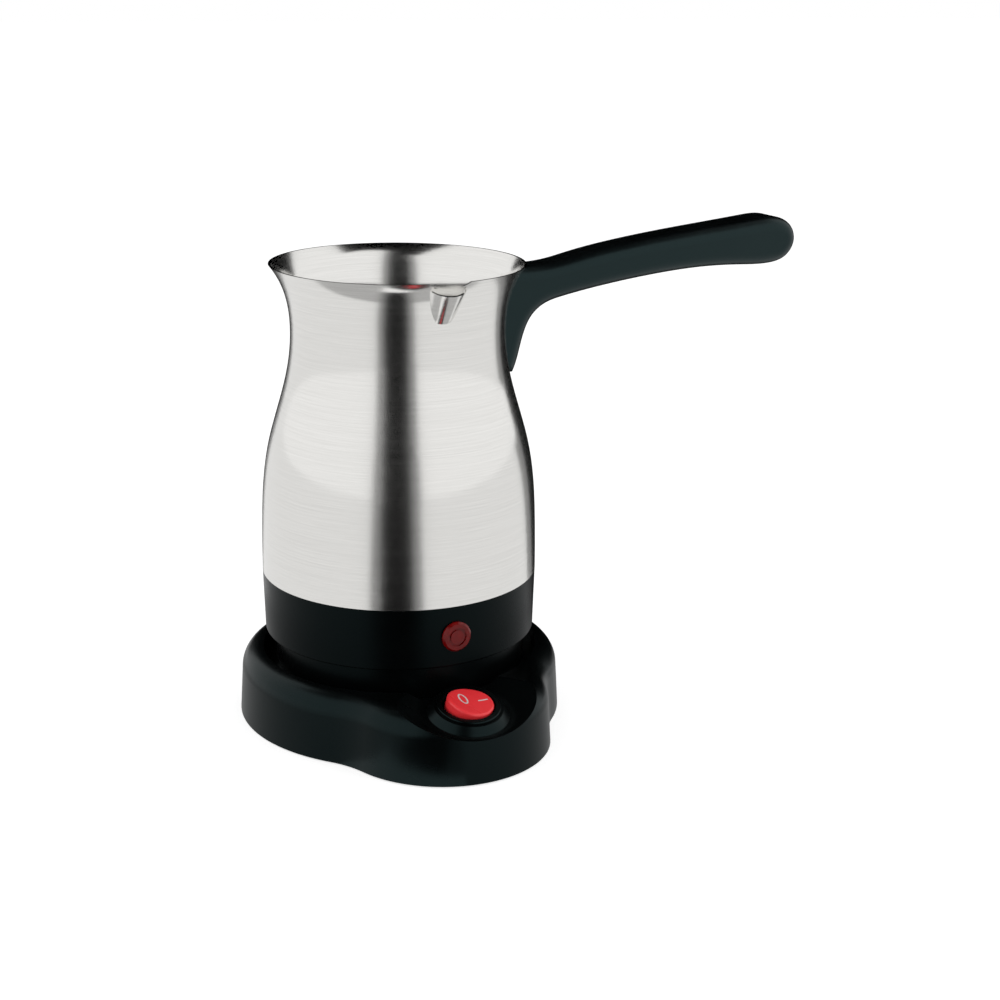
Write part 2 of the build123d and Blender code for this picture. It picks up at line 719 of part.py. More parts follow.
def pot_form(inset, top_rise):
    """The pot's outline turned round its axis, drawn in by the wall's thickness."""
    wall_line = [(radius - inset, z) for radius, z in pot_outline[1:]]
    start = (seam_radius - inset, seam_z + inset)
    with BuildPart() as form:
        with BuildSketch(Plane.XZ):
            with BuildLine():
                Spline(start, *wall_line)
                Polyline(
                    wall_line[-1],
                    (wall_line[-1][0], rim_z + top_rise),
                    (0, rim_z + top_rise),
                    (0, pot_bottom_z + inset),
                    (neck_radius - inset, pot_bottom_z + inset),
                    (neck_radius - inset, seam_z + inset),
                    start,
                )
            make_face()
        revolve(axis=Axis.Z)
    return form.part


lip_axis = Plane(
    origin=(0, -lip_foot_reach, lip_foot_z),
    z_dir=(0, lip_foot_reach - lip_reach, rim_z - lip_foot_z),
)
lip_height = rim_z - lip_foot_z
lip_sag = (lip_width**2 / 4 + lip_dip**2) / (2 * lip_dip)
with BuildPart() as pot_shell:
    add(pot_form(0, 0.001))
    with BuildSketch(lip_axis):
        Circle(lip_foot_radius)
    with BuildSketch(lip_axis.offset(lip_height)):
        Circle(lip_radius)
    loft()
    add(pot_form(pot_wall, 2), mode=Mode.SUBTRACT)
    with BuildSketch(lip_axis):
        Circle(lip_foot_radius - pot_wall)
    with BuildSketch(lip_axis.offset(lip_height + 1)):
        Circle(lip_radius - pot_wall + 0.4)
    loft(mode=Mode.SUBTRACT)
    with BuildSketch(Plane.XZ.offset(lip_reach - lip_radius)):
        with Locations((0, rim_z - lip_dip + lip_sag)):
            Circle(lip_sag)
    extrude(amount=3 * lip_radius, mode=Mode.SUBTRACT)
    with BuildSketch(Plane.XY.offset(rim_z)):
        Circle(2 * rim_radius)
    extrude(amount=lip_height, mode=Mode.SUBTRACT)
pot_shell.part.label = "pot_shell"
export_step(pot_shell.part, "parts/pot_shell.step")

# ---- collar: the black foot of the pot -------------------------------------------------------



def collar_radius(z):
    """Radius of the collar's outer wall at a height."""
    share = (z - collar_foot_z) / (seam_z - collar_foot_z)
    return collar_foot_radius + (seam_radius - collar_foot_radius) * share


collar_bore = seam_radius - collar_wall
skirt_bore = skirt_radius - collar_wall
lens_seat_y = -max(collar_radius(lamp_z - lens_radius), collar_radius(lamp_z + lens_radius))
lamp_boss_radius = lens_body_radius + 1.4
lamp_boss_y = ledge_width - collar_bore + 0.2  # inner end of the boss that carries the lens
collar_screw_places = [around(collar_post_circle, angle, 0)[:2] for angle in collar_post_angles]
with BuildPart() as pot_collar:
    with BuildSketch(Plane.XZ):
        with BuildLine():
            Polyline(
                (seam_radius, seam_z),
                (collar_foot_radius, collar_foot_z),
                (skirt_radius, collar_foot_z),
                (skirt_radius, deck_z + seat_gap),
                (skirt_bore, deck_z + seat_gap),
                (skirt_bore, pot_floor_z),
                (cup_radius + cup_wall + pin_fit, pot_floor_z),
                (cup_radius + cup_wall + pin_fit, collar_floor_top_z),
                (skirt_bore, collar_floor_top_z),
                (skirt_bore, collar_foot_z + collar_wall),
                (collar_bore, collar_foot_z + collar_wall),
                (collar_bore, ledge_top_z - collar_wall),
                (collar_bore - ledge_width, ledge_top_z - collar_wall),
                (collar_bore - ledge_width, ledge_top_z),
                (collar_bore, ledge_top_z),
                (collar_bore, seam_z),
                close=True,
            )
        make_face()
    revolve(axis=Axis.Z)
    round_edges = pot_collar.edges().filter_by(GeomType.CIRCLE)
    foot_edges = round_edges.filter_by(lambda e: abs(e.radius - collar_foot_radius) < 0.01)
    fillet(foot_edges, collar_wall * 0.35)
    with BuildSketch(Plane.XY.offset(pot_floor_z)):
        with Locations(*collar_screw_places):
            Circle(stud_radius + 0.1)
        with Locations((connector_screw_place, 0), (-connector_screw_place, 0)):
            Circle(connector_screw_radius + 0.2)
    extrude(amount=floor_thickness, mode=Mode.SUBTRACT)
    with BuildSketch(Plane.XZ.offset(-lamp_boss_y)):
        with Locations((0, lamp_z)):
            Circle(lamp_boss_radius)
    extrude(amount=ledge_width + 0.5)
    with BuildSketch(Plane.XZ.offset(-lamp_boss_y)):
        with Locations((0, lamp_z)):
            Circle(lens_body_radius + pin_fit)
    extrude(amount=4 * collar_wall, mode=Mode.SUBTRACT)
pot_collar.part.label = "pot_collar"
export_step(pot_collar.part, "parts/pot_collar.step")

with BuildPart() as collar_seal:
    with BuildSketch(Plane.XY.offset(ledge_top_z)):
        Circle(neck_radius - 0.2)
        Circle(collar_bore - ledge_width, mode=Mode.SUBTRACT)
    extrude(amount=seal_height)
collar_seal.part.label = "collar_seal"
export_step(collar_seal.part, "parts/collar_seal.step")

# Steel posts welded under the pot, and the screws that pull the collar up to them.
with BuildPart() as collar_posts:
    with BuildSketch(Plane.XY.offset(collar_floor_top_z)):
        with Locations(*collar_screw_places):
            Circle(collar_post_radius)
    extrude(amount=pot_bottom_z - collar_floor_top_z)
    with BuildSketch(Plane.XY.offset(collar_floor_top_z)):
        with Locations(*collar_screw_places):
            Circle(stud_radius)
    extrude(amount=4 * collar_post_radius, mode=Mode.SUBTRACT)
collar_posts.part.label = "collar_posts"
export_step(collar_posts.part, "parts/collar_posts.step")

collar_screw_length = floor_thickness + 3 * collar_post_radius
with BuildPart() as collar_screws:
    for x, y in collar_screw_places:
        with Locations((x, y, pot_floor_z)):
            add(screw(screw_head_ratio * stud_radius, 1.2, stud_radius - pin_fit, collar_screw_length))
collar_screws.part.label = "collar_screws"
export_step(collar_screws.part, "parts/collar_screws.step")

# ---- heater ----------------------------------------------------------------------------------
with BuildPart() as heat_plate:
    with BuildSketch(Plane.XY.offset(heat_plate_z)):
        Circle(plate_radius)
    extrude(amount=heat_plate_thickness)
    chamfer(heat_plate.edges().sort_by(Axis.Z)[0], 0.6)
heat_plate.part.label = "heat_plate"
export_step(heat_plate.part, "parts/heat_plate.step")

# A sheathed tube bent to a C, flattened where it is brazed to the plate, its cold ends turned down.
element_ends = [around(element_circle, sign * element_opening / 2, element_z) for sign in (1, -1)]
with BuildPart() as heating_element:
    with BuildSketch(radial_plane(element_opening / 2)):
        with Locations((element_circle, element_z)):
            Circle(element_radius)
    revolve(axis=Axis.Z, revolution_arc=360 - element_opening)
    with Locations(*element_ends):
        Sphere(element_radius)
    with BuildSketch(Plane.XY.offset(element_z)):
        with Locations(*[end[:2] for end in element_ends]):
            Circle(element_radius)
    extrude(amount=-element_end_drop)
    with BuildSketch(Plane.XY.offset(heat_plate_z)):
        Circle(2 * element_circle)
    extrude(amount=2 * element_radius, mode=Mode.SUBTRACT)
heating_element.part.label = "heating_element"
export_step(heating_element.part, "parts/heating_element.step")

element_foot_z = element_z - element_end_drop
bead_height = 1.6
with BuildPart() as element_beads:
    with BuildSketch(Plane.XY.offset(element_foot_z - bead_height)):
        with Locations(*[end[:2] for end in element_ends]):
            Circle(element_radius * 0.8)
            Circle(element_radius * 0.35 + pin_fit, mode=Mode.SUBTRACT)
    extrude(amount=bead_height)
element_beads.part.label = "element_beads"
export_step(element_beads.part, "parts/element_beads.step")

spade_width = 6.3
spade_thickness = 0.8
spade_length = 6.5
spade_top_z = element_foot_z - bead_height - 0.4
with BuildPart() as element_spades:
    for sign in (1, -1):
        angle = sign * element_opening / 2
        with BuildSketch(Plane.XY.offset(element_foot_z)):
            with Locations(around(element_circle, angle, 0)[:2]):
                Circle(element_radius * 0.35)
        extrude(amount=-bead_height - 1)
        with BuildSketch(Plane.XY.offset(spade_top_z)):
            with Locations(Location(around(element_circle, angle, 0), (0, 0, angle))):
                Rectangle(spade_thickness, spade_width)
        extrude(amount=-spade_length)
element_spades.part.label = "element_spades"
export_step(element_spades.part, "parts/element_spades.step")

# ---- thermostat: pressed to the pot's bottom by a strap on two welded studs ------------------
thermostat_x, thermostat_y, _ = around(*thermostat_place, 0)
thermostat_angle = thermostat_place[1]
cap_foot_z = pot_bottom_z - thermostat_cap_height
strap_thickness = 0.8
blade_spacing = 8.0
strap_top_z = cap_foot_z
nut_height = 2.4


def beside_thermostat(across, z=0):
    """A point beside the thermostat's centre, measured round the pot."""
    turn = radians(thermostat_angle)
    return (thermostat_x - across * sin(turn), thermostat_y + across * cos(turn), z)


stud_places = [beside_thermostat(side * thermostat_stud_spacing / 2)[:2] for side in (-1, 1)]
with BuildPart() as thermostat_cap:
    with BuildSketch(Plane.XY.offset(cap_foot_z)):
        with Locations((thermostat_x, thermostat_y)):
            Circle(thermostat_radius)
    extrude(amount=thermostat_cap_height)
    fillet(thermostat_cap.edges().sort_by(Axis.Z)[-1], 0.6)
thermostat_cap.part.label = "thermostat_cap"
export_step(thermostat_cap.part, "parts/thermostat_cap.step")

with BuildPart() as thermostat_body:
    with BuildSketch(Plane.XY.offset(cap_foot_z - thermostat_body_height)):
        with Locations((thermostat_x, thermostat_y)):
            Circle(thermostat_radius - 1)
    extrude(amount=thermostat_body_height)
    chamfer(thermostat_body.edges().sort_by(Axis.Z)[0], 0.5)
thermostat_body.part.label = "thermostat_body"
export_step(thermostat_body.part, "parts/thermostat_body.step")

blade_places = [beside_thermostat(side * blade_spacing / 2) for side in (-1, 1)]
blade_locations = [Location(place, (0, 0, thermostat_angle)) for place in blade_places]
with BuildPart() as thermostat_blades:
    with BuildSketch(Plane.XY.offset(cap_foot_z - thermostat_body_height)):
        with Locations(*blade_locations):
            Rectangle(spade_width, spade_thickness)
    extrude(amount=-spade_length)
thermostat_blades.part.label = "thermostat_blades"
export_step(thermostat_blades.part, "parts/thermostat_blades.step")

with BuildPart() as thermostat_strap:
    with BuildSketch(Plane.XY.offset(strap_top_z - strap_thickness)):
        with Locations((thermostat_x, thermostat_y)):
            Circle(thermostat_radius + 0.8)
        with Locations(Location((thermostat_x, thermostat_y, 0), (0, 0, thermostat_angle + 90))):
            SlotOverall(thermostat_stud_spacing + 7, 7)
        with Locations((thermostat_x, thermostat_y)):
            Circle(thermostat_radius - 1 + pin_fit, mode=Mode.SUBTRACT)
        with Locations(*stud_places):
            Circle(stud_radius + pin_fit, mode=Mode.SUBTRACT)
    extrude(amount=strap_thickness)
thermostat_strap.part.label = "thermostat_strap"
export_step(thermostat_strap.part, "parts/thermostat_strap.step")

with BuildPart() as thermostat_studs:
    with BuildSketch(Plane.XY.offset(pot_bottom_z)):
        with Locations(*stud_places):
            Circle(stud_radius)
    extrude(amount=-stud_length)
    chamfer(thermostat_studs.edges().group_by(Axis.Z)[0], 0.4)
thermostat_studs.part.label = "thermostat_studs"
export_step(thermostat_studs.part, "parts/thermostat_studs.step")

with BuildPart() as thermostat_nuts:
    with BuildSketch(Plane.XY.offset(strap_top_z - strap_thickness)):
        with Locations(*stud_places):
            RegularPolygon(2.1 * stud_radius, 6)
            Circle(stud_radius + pin_fit, mode=Mode.SUBTRACT)
    extrude(amount=-nut_height)
thermostat_nuts.part.label = "thermostat_nuts"
export_step(thermostat_nuts.part, "parts/thermostat_nuts.step")

# ---- thermal fuse in its clip under the heat plate -------------------------------------------
clip_thickness = 0.5
fuse_z = heat_plate_z - clip_thickness - fuse_radius
with BuildPart() as thermal_fuse:
    with BuildSketch(Plane.YZ.offset(-fuse_length / 2)):
        with Locations((fuse_y, fuse_z)):
            Circle(fuse_radius)
    extrude(amount=fuse_length)
    chamfer(thermal_fuse.edges().filter_by(GeomType.CIRCLE), fuse_radius * 0.3)
thermal_fuse.part.label = "thermal_fuse"
export_step(thermal_fuse.part, "parts/thermal_fuse.step")

with BuildPart() as fuse_clip:
    with BuildSketch(Plane.YZ.offset(-fuse_radius)):
        with Locations((fuse_y, fuse_z)):
            Circle(fuse_radius + pin_fit + clip_thickness)
        with Locations((fuse_y - 2 * fuse_radius, heat_plate_z - clip_thickness / 2)):
            Rectangle(2.4 * fuse_radius, clip_thickness)
        with Locations((fuse_y, fuse_z)):
            Circle(fuse_radius + pin_fit, mode=Mode.SUBTRACT)
        with Locations((fuse_y, heat_plate_z + fuse_radius)):
            Rectangle(4 * fuse_radius, 2 * fuse_radius, mode=Mode.SUBTRACT)
    extrude(amount=2 * fuse_radius)
fuse_clip.part.label = "fuse_clip"
export_step(fuse_clip.part, "parts/fuse_clip.step")

# ---- lamp ------------------------------------------------------------------------------------
lens_back_y = lens_seat_y + lens_body_length
lens_bore = neon_radius + 0.3
with BuildPart() as lamp_lens:
    with BuildSketch(Plane.XZ.offset(-lens_seat_y + pin_fit)):
        with Locations((0, lamp_z)):
            Circle(lens_radius)
    extrude(amount=lens_flange)
    chamfer(lamp_lens.edges().sort_by(Axis.Y)[0], lens_flange / 2)
    with BuildSketch(Plane.XZ.offset(-lens_seat_y + pin_fit + lens_flange)):
        with Locations((0, lamp_z)):
            Circle(lens_groove_radius)
            Circle(lens_groove_radius - 0.8, mode=Mode.SUBTRACT)
    extrude(amount=-lens_flange / 3, mode=Mode.SUBTRACT)
    with BuildSketch(Plane.XZ.offset(-lens_back_y)):
        with Locations((0, lamp_z)):
            Circle(lens_body_radius)
            Circle(lens_bore, mode=Mode.SUBTRACT)
    extrude(amount=lens_body_length + pin_fit)
lamp_lens.part.label = "lamp_lens"
export_step(lamp_lens.part, "parts/lamp_lens.step")

with BuildPart() as neon_lamp:
    with BuildSketch(Plane.XZ.offset(-lens_back_y)):
        with Locations((0, lamp_z)):
            Circle(neon_radius)
    extrude(amount=neon_length)
    fillet(neon_lamp.edges().sort_by(Axis.Y)[0], neon_radius * 0.8)
neon_lamp.part.label = "neon_lamp"
export_step(neon_lamp.part, "parts/neon_lamp.step")

with BuildPart() as lamp_clip:
    with BuildSketch(Plane.XZ.offset(-lamp_boss_y)):
        with Locations((0, lamp_z)):
            Circle(lamp_boss_radius + 0.4)
            Circle(lens_body_radius + pin_fit, mode=Mode.SUBTRACT)
    extrude(amount=-0.6)
lamp_clip.part.label = "lamp_clip"
export_step(lamp_clip.part, "parts/lamp_clip.step")

# ---- handle, its bracket and its screw -------------------------------------------------------
with BuildPart() as handle_bracket:
    with BuildSketch(Plane.XY.offset(bracket_z)):
        with Locations((waist[0] / 2 + bracket_reach / 2, 0)):
            Rectangle(bracket_reach - waist[0], bracket_width)
    extrude(amount=bracket_thickness)
    with BuildSketch(Plane.XZ):
        with Locations((waist[0] + bracket_pad_thickness, bracket_z + bracket_thickness / 2)):
            Rectangle(4 * bracket_pad_thickness, bracket_pad_height)
    extrude(amount=bracket_pad_width / 2, both=True)
    add(pot_form(0, 2), mode=Mode.SUBTRACT)
    with BuildSketch(Plane.XY.offset(bracket_z)):
        with Locations((handle_screw_x, 0)):
            Circle(handle_screw_radius)
    extrude(amount=bracket_thickness, mode=Mode.SUBTRACT)
handle_bracket.part.label = "handle_bracket"
export_step(handle_bracket.part, "parts/handle_bracket.step")

screw_seat_z = bracket_z - 3.0
handle_head_radius = screw_head_ratio * handle_screw_radius
tongue_gap = 0.15
with BuildPart() as handle:
    with BuildSketch(Plane.XZ):
        with BuildLine():
            Spline(*handle_outline)
            Polyline(
                handle_outline[-1],
                (waist[0] / 2, handle_outline[-1][1]),
                (waist[0] / 2, handle_outline[0][1]),
                handle_outline[0],
            )
        make_face()
    extrude(amount=handle_tip_width, both=True)
    with BuildSketch(Plane.XY.offset(handle_outline[0][1] - 1)):
        with BuildLine():
            Polyline(
                (waist[0] / 2, -handle_root_width / 2),
                (handle_tip_x + 1, -handle_tip_width / 2),
                (handle_tip_x + 1, handle_tip_width / 2),
                (waist[0] / 2, handle_root_width / 2),
                close=True,
            )
        make_face()
    extrude(amount=rim_z, mode=Mode.INTERSECT)
    side_faces = handle.faces().sort_by(Axis.Y)
    fillet(side_faces[0].edges() + side_faces[-1].edges(), handle_rounding)
    add(pot_form(-handle_gap, 2), mode=Mode.SUBTRACT)
    # Recess for the bracket's pad, slot for its tongue, and the screw's hole from below.
    with BuildSketch(Plane.XZ):
        with Locations((waist[0], bracket_z + bracket_thickness / 2)):
            Rectangle(8 * bracket_pad_thickness, bracket_pad_height + 2 * tongue_gap)
    extrude(amount=bracket_pad_width / 2 + tongue_gap, both=True, mode=Mode.SUBTRACT)
    with BuildSketch(Plane.XY.offset(bracket_z - tongue_gap)):
        with Locations((waist[0] / 2 + bracket_reach / 2, 0)):
            Rectangle(bracket_reach - waist[0] + 2 * tongue_gap, bracket_width + 2 * tongue_gap)
    extrude(amount=bracket_thickness + 2 * tongue_gap, mode=Mode.SUBTRACT)
    with BuildSketch(Plane.XY.offset(screw_seat_z)):
        with Locations((handle_screw_x, 0)):
            Circle(handle_head_radius + 0.3)
    extrude(amount=-waist[0], mode=Mode.SUBTRACT)
    with BuildSketch(Plane.XY.offset(screw_seat_z)):
        with Locations((handle_screw_x, 0)):
            Circle(handle_screw_radius + 0.1)
    extrude(amount=handle_screw_length, mode=Mode.SUBTRACT)
handle.part.label = "handle"
export_step(handle.part, "parts/handle.step")

handle_shank_length = handle_screw_length - 0.5
with BuildPart() as handle_screw:
    with Locations((handle_screw_x, 0, screw_seat_z)):
        add(screw(handle_head_radius, 1.4, handle_screw_radius - pin_fit, handle_shank_length))
handle_screw.part.label = "handle_screw"
export_step(handle_screw.part, "parts/handle_screw.step")

# ---- leads -----------------------------------------------------------------------------------
lead_gap = 0.1  # between a lead's end and the metal it is joined to
spade_face = element_circle + spade_thickness / 2 + lead_gap
blade_face = (blade_spacing + spade_thickness) / 2 + lead_gap
lower_z = spade_top_z - 4.4  # height of the lower of two leads on one spade
upper_z = spade_top_z - 1.4
right_spade = around(spade_face, element_opening / 2, lower_z)
left_spade = around(spade_face, -element_opening / 2, lower_z)
blade_z = cap_foot_z - thermostat_body_height - spade_length + 1.3

terminal_end = switch_plane.offset(-switch_body_depth - terminal_reach + 1.4).origin
terminal_face = terminal_x - terminal_thickness / 2 - lead_gap
with BuildPart() as switch_lead:
    add(lead(
        (
            (terminal_face, terminal_end.Y, terminal_end.Z),
            (terminal_x - 5, terminal_end.Y, terminal_end.Z),
            (terminal_x - 6, 0.7 * terminal_end.Y, terminal_end.Z + 0.4),
            (0, -20, tab_foot_z + 1),
            (0, -blade_outers[0] - lead_gap, tab_foot_z + 1),
        ),
        3,
    ))
switch_lead.part.label = "switch_lead"
export_step(switch_lead.part, "parts/switch_lead.step")

# Live: inner contact ring to the thermostat.
with BuildPart() as live_lead:
    add(lead(
        (
            around(ring_inners[0] + ring_thickness + lead_gap, ring_tab_angles[0], ring_tab_top_z - 1.5),
            around(16.5, ring_tab_angles[0], ring_tab_top_z - 1.5),
            (-17.5, -6.4, 40.5),
            (-33, -3, 39),
            beside_thermostat(blade_face + 6, blade_z),
            beside_thermostat(blade_face, blade_z),
        ),
        2,
    ))
live_lead.part.label = "live_lead"
export_step(live_lead.part, "parts/live_lead.step")

# Switched live: thermostat to the heating element.
with BuildPart() as thermostat_lead:
    add(lead(
        (
            beside_thermostat(-blade_face, blade_z),
            beside_thermostat(-blade_face - 6, blade_z),
            (0, 28, 33),
            (22, 25, lower_z),
            around(36, element_opening / 2, lower_z),
            right_spade,
        ),
        2,
    ))
thermostat_lead.part.label = "thermostat_lead"
export_step(thermostat_lead.part, "parts/thermostat_lead.step")

# Neutral: outer contact ring to the fuse, and the fuse to the heating element.
with BuildPart() as neutral_leads:
    add(lead(
        (
            around(ring_inners[1] + ring_thickness + lead_gap, ring_tab_angles[1], ring_tab_top_z - 1.5),
            around(15, ring_tab_angles[1], ring_tab_top_z - 1.5),
            (15, 6, fuse_z - 1),
            (12, fuse_y, fuse_z),
            (fuse_length / 2 + lead_gap, fuse_y, fuse_z),
        ),
        2,
    ))
    add(lead(
        (
            (-fuse_length / 2 - lead_gap, fuse_y, fuse_z),
            (-12, fuse_y - 1, fuse_z),
            (-15.5, 6.5, 41),
            (-17, -8, 34),
            (-4, -27, lower_z),
            (24, -27, lower_z),
            around(36, -element_opening / 2, lower_z),
            left_spade,
        ),
        2,
    ))
neutral_leads.part.label = "neutral_leads"
export_step(neutral_leads.part, "parts/neutral_leads.step")

# Earth: centre pin's tag to a collar post.
earth_z = cup_outer_z + tag_thickness + lead_radius + lead_gap
with BuildPart() as earth_lead:
    add(lead(
        (
            (0, -4 * pin_radius, earth_z),
            (0, -14.5, earth_z),
            (6, -18, 39),
            around(31, collar_post_angles[2], 36),
            around(collar_post_circle - collar_post_radius - lead_gap, collar_post_angles[2], 36),
        ),
        1.5,
    ))
earth_lead.part.label = "earth_lead"
export_step(earth_lead.part, "parts/earth_lead.step")

with BuildPart() as lamp_leads:
    add(lead(
        (
            (1, lens_back_y + 2 * lead_gap, lamp_z),
            (2, lens_back_y + 5, lamp_z - 1.2),
            (26, -27, 41),
            around(36, -element_opening / 2, upper_z),
            around(spade_face, -element_opening / 2, upper_z),
        ),
        1.5,
        lead_radius * 0.6,
    ))
    add(lead(
        (
            (-1, lens_back_y + 2 * lead_gap, lamp_z),
            (-1.5, lens_back_y + 7, lamp_z - 3.7),
            (27, -23.5, 39),
            (35, 0, 37),
            around(36, element_opening / 2, upper_z),
            around(spade_face, element_opening / 2, upper_z),
        ),
        1.5,
        lead_radius * 0.6,
    ))
lamp_leads.part.label = "lamp_leads"
export_step(lamp_leads.part, "parts/lamp_leads.step")
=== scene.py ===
import json
import math

import bpy
from mathutils import Matrix, Vector


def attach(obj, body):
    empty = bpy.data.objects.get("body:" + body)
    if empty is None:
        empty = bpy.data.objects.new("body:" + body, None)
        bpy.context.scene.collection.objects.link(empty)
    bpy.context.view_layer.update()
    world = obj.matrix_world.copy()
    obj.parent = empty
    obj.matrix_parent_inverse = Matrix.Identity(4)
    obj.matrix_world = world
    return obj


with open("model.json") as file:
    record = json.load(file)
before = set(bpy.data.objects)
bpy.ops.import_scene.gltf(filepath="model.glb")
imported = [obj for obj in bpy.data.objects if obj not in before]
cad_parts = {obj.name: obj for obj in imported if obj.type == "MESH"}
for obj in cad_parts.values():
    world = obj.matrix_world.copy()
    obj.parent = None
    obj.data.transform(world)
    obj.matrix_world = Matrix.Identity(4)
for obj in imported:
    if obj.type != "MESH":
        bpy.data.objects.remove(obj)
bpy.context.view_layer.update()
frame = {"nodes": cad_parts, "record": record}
nodes = frame["nodes"]
scene = bpy.context.scene
scene.view_settings.view_transform = "Standard"


# ---- helpers --------------------------------------------------------------------------------
def turned(vector, angle):
    """A vector turned about the upright axis, by an angle in radians."""
    return Matrix.Rotation(angle, 3, "Z") @ vector


def towards(azimuth):
    """The level direction out of the object: 0 degrees is its front, 90 the handle's side."""
    return turned(Vector((0.0, -1.0, 0.0)), math.radians(azimuth))


def placed(place, facing, axis):
    """A placement at a point, with one of the object's own axes turned towards a direction."""
    turn = Vector(facing).to_track_quat(axis, "Y").to_matrix().to_4x4()
    return Matrix.Translation(place) @ turn


def add_piece(name, points, faces, material):
    """A mesh object in the scene, of one material."""
    mesh = bpy.data.meshes.new(name)
    mesh.from_pydata(points, [], faces)
    mesh.materials.append(material)
    piece = bpy.data.objects.new(name, mesh)
    scene.collection.objects.link(piece)
    return piece


# ---- camera, solved from the photograph: metres, radians and pixels --------------------------
CAMERA_DISTANCE = 0.6010
CAMERA_HEIGHT = 0.2636
CAMERA_AZIMUTH = math.radians(-23.0)
PITCH = 0.29933
YAW = 0.060509
ROLL = 0.01284
FOCAL_PIXELS = 1744.2
FRAME_PIXELS = 1000.0
SENSOR_MILLIMETRES = 36.0
CLIP_START = 0.01

forward = Vector(
    (math.sin(YAW) * math.cos(PITCH), math.cos(YAW) * math.cos(PITCH), -math.sin(PITCH))
)
right = Vector((math.cos(YAW), -math.sin(YAW), 0.0))
up = right.cross(forward)
right, up = (
    right * math.cos(ROLL) + up * math.sin(ROLL),
    up * math.cos(ROLL) - right * math.sin(ROLL),
)
forward, right, up = (turned(v, CAMERA_AZIMUTH) for v in (forward, right, up))
camera_place = turned(Vector((0.0, -CAMERA_DISTANCE, CAMERA_HEIGHT)), CAMERA_AZIMUTH)
camera_turn = Matrix((right, up, -forward)).transposed().to_4x4()

camera_data = bpy.data.cameras.new("camera")
camera_data.sensor_width = SENSOR_MILLIMETRES
camera_data.lens = FOCAL_PIXELS / FRAME_PIXELS * SENSOR_MILLIMETRES
camera_data.clip_start = CLIP_START
camera = bpy.data.objects.new("camera", camera_data)
camera.matrix_world = Matrix.Translation(camera_place) @ camera_turn
scene.collection.objects.link(camera)
scene.camera = camera


# ---- shader nodes ---------------------------------------------------------------------------
def emptied(owner):
    """The node tree of a material or world, without its nodes."""
    owner.use_nodes = True
    owner.node_tree.nodes.clear()
    return owner.node_tree


def add_node(tree, kind, inputs=None, **settings):
    """A node with its settings, its inputs given as values or as sockets to link."""
    node = tree.nodes.new(kind)
    for key, value in settings.items():
        setattr(node, key, value)
    for key, value in (inputs or {}).items():
        if isinstance(value, bpy.types.NodeSocket):
            tree.links.new(value, node.inputs[key])
        else:
            node.inputs[key].default_value = value
    return node


def new_material(name):
    """A material with nothing in its tree but a shader and its output."""
    material = bpy.data.materials.new(name)
    tree = emptied(material)
    shader = add_node(tree, "ShaderNodeBsdfPrincipled")
    add_node(tree, "ShaderNodeOutputMaterial", {"Surface": shader.outputs[0]})
    return material, tree, shader


def noise(tree, scale, detail, roughness=0.5):
    """Noise from 0 to 1, in object coordinates stretched by a scale of one or three numbers."""
    if isinstance(scale, float):
        scale = (scale, scale, scale)
    coordinates = add_node(tree, "ShaderNodeTexCoord").outputs["Object"]
    stretched = add_node(tree, "ShaderNodeMapping", {"Vector": coordinates, "Scale": scale})
    inputs = {
        "Vector": stretched.outputs["Vector"],
        "Scale": 1.0,
        "Detail": detail,
        "Roughness": roughness,
    }
    return add_node(tree, "ShaderNodeTexNoise", inputs).outputs["Fac"]


def spread(tree, value, to_range, from_range=(0.3, 0.7)):
    """A value brought from one range to another."""
    inputs = {
        "Value": value,
        "From Min": from_range[0],
        "From Max": from_range[1],
        "To Min": to_range[0],
        "To Max": to_range[1],
    }
    return add_node(tree, "ShaderNodeMapRange", inputs).outputs["Result"]


def mixed_colour(tree, factor, first, second):
    """A colour between two; the mix node's colours are its inputs 6 and 7 and its output 2."""
    inputs = {0: factor, 6: (*first, 1.0), 7: (*second, 1.0)}
    return add_node(tree, "ShaderNodeMix", inputs, data_type="RGBA").outputs[2]


def vary(tree, shader, value, colours, rough, from_range=(0.3, 0.7)):
    """Colour and roughness that follow a value, each between its own two ends."""
    factor = spread(tree, value, (0.0, 1.0), from_range)
    tree.links.new(mixed_colour(tree, factor, *colours), shader.inputs["Base Color"])
    tree.links.new(spread(tree, value, rough, from_range), shader.inputs["Roughness"])


def bump(tree, shader, height, strength, distance):
    """A surface raised by a height."""
    inputs = {"Height": height, "Strength": strength, "Distance": distance}
    raised = add_node(tree, "ShaderNodeBump", inputs).outputs["Normal"]
    tree.links.new(raised, shader.inputs["Normal"])


# ---- materials ------------------------------------------------------------------------------
PLASTIC_CLOUD, PLASTIC_GRAIN = 40.0, 1800.0  # noise scales, per metre
METAL_CLOUD, METAL_GRAIN = 120.0, 900.0
LENS_CLOUD = 300.0
COARSE_SCRATCHES = (16.0, 16.0, 2600.0)  # long and level, and close together going up
FINE_SCRATCHES = (60.0, 60.0, 9000.0)
STREAK_RANGE = (0.7, 1.3)  # what the two scratch noises add up to
NO_TINT = (1.0, 1.0, 1.0)


def plastic(name, colours, rough, depth=0.00004, sheen=NO_TINT, gloss=0.5):
    """Moulded plastic: faint clouds in its colour and gloss, and a fine texture of some depth."""
    material, tree, shader = new_material(name)
    vary(tree, shader, noise(tree, PLASTIC_CLOUD, detail=3.0), colours, rough)
    grain = noise(tree, PLASTIC_GRAIN, detail=2.0)
    bump(tree, shader, grain, strength=0.25, distance=depth)
    shader.inputs["Specular Tint"].default_value = (*sheen, 1.0)
    shader.inputs["Specular IOR Level"].default_value = gloss
    return material


